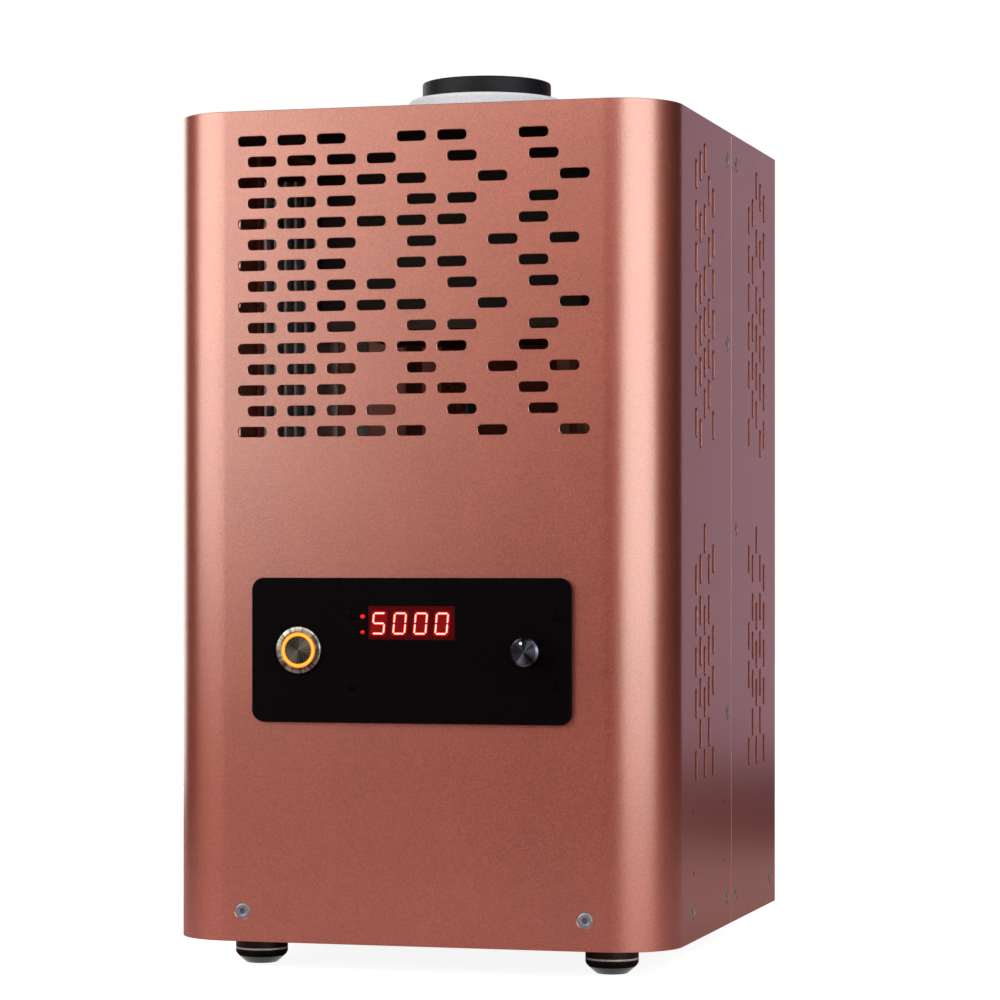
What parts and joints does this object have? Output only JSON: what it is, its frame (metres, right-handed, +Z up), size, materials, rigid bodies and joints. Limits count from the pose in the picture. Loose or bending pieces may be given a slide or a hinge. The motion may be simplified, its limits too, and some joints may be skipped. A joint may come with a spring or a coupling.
{
  "type": "electric melting furnace",
  "caption": "Bench-top induction melting furnace with a perforated metal case, a control panel, a lidded crucible on top and feet.",
  "frame": {"origin": "on the floor under the middle of the whole machine", "axes": "+Z up, the control panel faces -Y, +X to the right as seen from the front"},
  "size_m": [0.3, 0.3606, 0.5303],
  "materials": {
    "cover": "bead-blasted and anodised rose copper",
    "frame_steel": "plain zinc-plated sheet",
    "top_plate": "dark powder coat",
    "screw_steel": "plain",
    "foot_plastic": "satin",
    "foot_rubber": "matt",
    "panel_black": "black anodised",
    "black_screw": "black oxide",
    "display_glass": "dark red filter",
    "module_black": "satin",
    "led": "frosted",
    "circuit_board": "solder mask",
    "spacer_nylon": "nylon",
    "button_metal": "machined and satin",
    "button_light": "lit",
    "button_cap": "brushed",
    "knob_black": "spun and black anodised",
    "shaft_steel": "plain",
    "ceramic": "unglazed",
    "graphite": "machined graphite",
    "graphite_lid": "machined graphite",
    "brick": "porous",
    "heat_board": "matt",
    "copper": "drawn copper",
    "shield": "matt black",
    "brass": "machined",
    "heat_sink": "extruded",
    "capacitor": "moulded",
    "ferrite": "sintered",
    "fan_black": "moulded",
    "guard_black": "moulded",
    "radiator": "brazed",
    "tank": "moulded",
    "cap_black": "moulded",
    "pump_black": "moulded",
    "hose": "smooth",
    "gland": "moulded",
    "breaker": "moulded",
    "lever": "moulded",
    "terminal": "moulded"
  },
  "bodies": {
    "housing": {"front_cover": "cover", "rear_cover": "cover", "base_tray": "frame_steel", "upright_left": "frame_steel", "upright_right": "frame_steel", "top_plate": "top_plate", "mid_shelf": "frame_steel", "front_cover_screws": "screw_steel", "rear_cover_screws": "screw_steel", "foot_bodies": "foot_plastic", "foot_pads": "foot_rubber", "control_panel": "panel_black", "panel_screws": "black_screw", "display_window": "display_glass", "display_module": "module_black", "status_leds": "led", "control_board": "circuit_board", "board_spacers": "spacer_nylon", "button_body": "button_metal", "button_ring": "button_light", "potentiometer": "module_black", "liner": "ceramic", "hearth_brick": "brick", "hearth_board": "heat_board", "hearth_posts": "spacer_nylon", "induction_coil": "copper", "coil_shield": "shield", "coil_terminals": "brass", "heat_sink": "heat_sink", "power_modules": "module_black", "power_spacers": "spacer_nylon", "power_board": "circuit_board", "filter_capacitors": "capacitor", "capacitor_bank": "capacitor", "busbars": "copper", "inductor_core": "ferrite", "fan_frame": "fan_black", "fan_guard": "guard_black", "radiator": "radiator", "water_tank": "tank", "filler_pipe": "tank", "pump": "pump_black", "pump_hose": "hose", "radiator_hose": "hose", "return_hose": "hose", "tank_hose": "hose", "cable_gland": "gland", "circuit_breaker": "breaker", "terminal_block": "terminal"},
    "crucible": {"crucible": "graphite"},
    "lid": {"lid": "graphite_lid"},
    "button": {"button_cap": "button_cap"},
    "knob": {"knob": "knob_black", "knob_shaft": "shaft_steel"},
    "fan_rotor": {"fan_rotor": "fan_black"},
    "breaker_lever": {"breaker_lever": "lever"},
    "filler_cap": {"filler_cap": "cap_black"}
  },
  "joints": [
    {"name": "crucible", "type": "slide", "parent": "housing", "child": "crucible", "axis": [0, 0, 1], "range_m": [0, 0.14]},
    {"name": "lid", "type": "slide", "parent": "crucible", "child": "lid", "axis": [0, 0, 1], "range_m": [0, 0.1]},
    {"name": "button", "type": "slide", "parent": "housing", "child": "button", "axis": [0, 1, 0], "range_m": [0, 0.002], "stiffness_N_per_m": 400},
    {"name": "knob", "type": "hinge", "parent": "housing", "child": "knob", "pos_m": [0.0713, -0.17175, 0.1858], "axis": [0, 1, 0], "range_deg": [-131, 169]},
    {"name": "fan_rotor", "type": "hinge", "parent": "housing", "child": "fan_rotor", "pos_m": [0.082, 0.14325, 0.202], "axis": [0, 1, 0], "continuous": true},
    {"name": "breaker_lever", "type": "hinge", "parent": "housing", "child": "breaker_lever", "pos_m": [-0.085, 0.15525, 0.217], "axis": [1, 0, 0], "range_deg": [-60, 0]},
    {"name": "filler_cap", "type": "hinge", "parent": "housing", "child": "filler_cap", "pos_m": [-0.106, 0.05325, 0.497], "axis": [0, 0, 1], "range_deg": [0, 90]}
  ]
}
